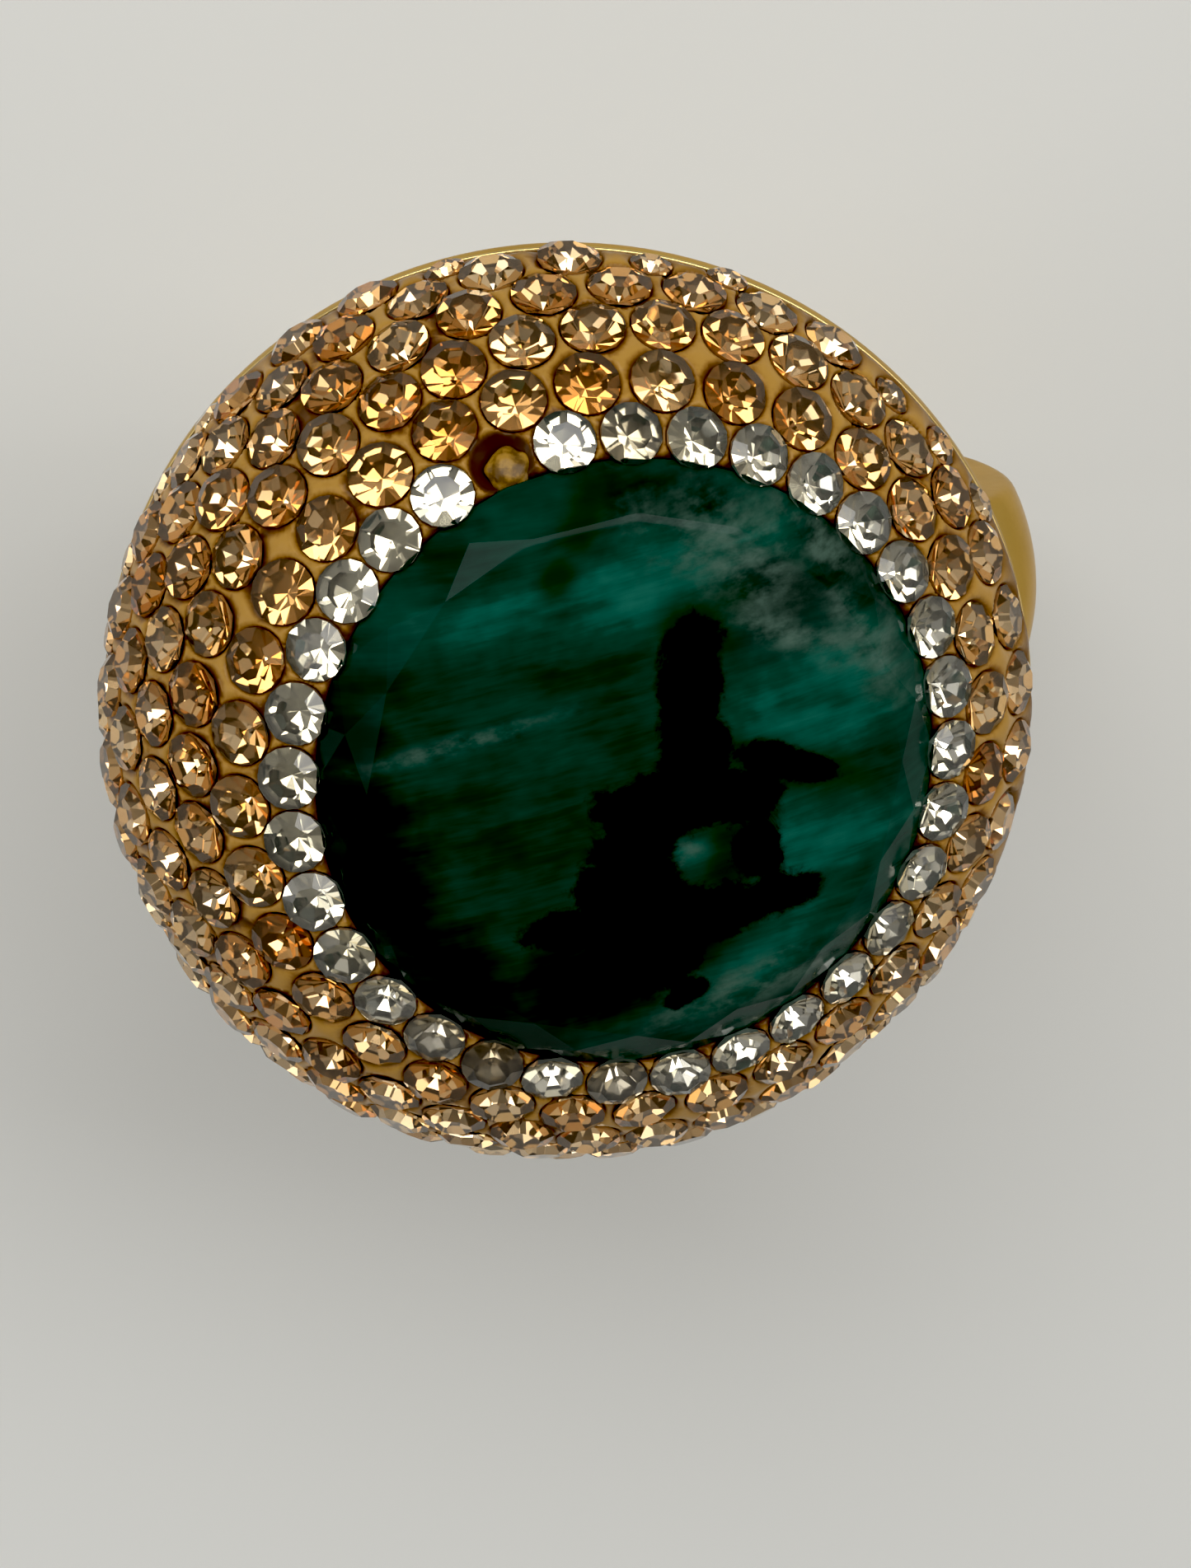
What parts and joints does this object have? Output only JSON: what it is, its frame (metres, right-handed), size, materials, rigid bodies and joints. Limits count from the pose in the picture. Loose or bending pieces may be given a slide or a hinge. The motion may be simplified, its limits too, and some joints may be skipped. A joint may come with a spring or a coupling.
{
  "type": "cocktail ring",
  "caption": "Cocktail ring with a round dark green centre stone, leaning in a clay dome pavé-set with clear and champagne crystals, on a gold-coloured tray and domed band.",
  "frame": {"origin": "centre of the finger bore, at the middle of the band's width", "axes": "+Y along the finger, +Z from the finger towards the centre stone, +X towards the side that the stone leans to"},
  "size_m": [0.023, 0.0225, 0.0292],
  "materials": {
    "gold_metal": "polished, lightly worn",
    "solder": "satin",
    "clay": "glossy cured epoxy clay",
    "cement": "matte",
    "green_stone": "polished",
    "resin": "glossy",
    "clear_crystal": "cut and foiled",
    "champagne_crystal": "cut and foiled"
  },
  "bodies": {
    "root": {"shank": "gold_metal", "solder_joint": "solder", "head_tray": "gold_metal", "clay_dome": "clay", "stone_cement": "cement", "centre_stone": "green_stone", "socket_resin": "resin", "clear_row": "clear_crystal", "champagne_row_1": "champagne_crystal", "champagne_row_2": "champagne_crystal", "champagne_row_3": "champagne_crystal", "champagne_row_4": "champagne_crystal", "champagne_row_5": "champagne_crystal", "champagne_row_6": "champagne_crystal"}
  },
  "joints": []
}
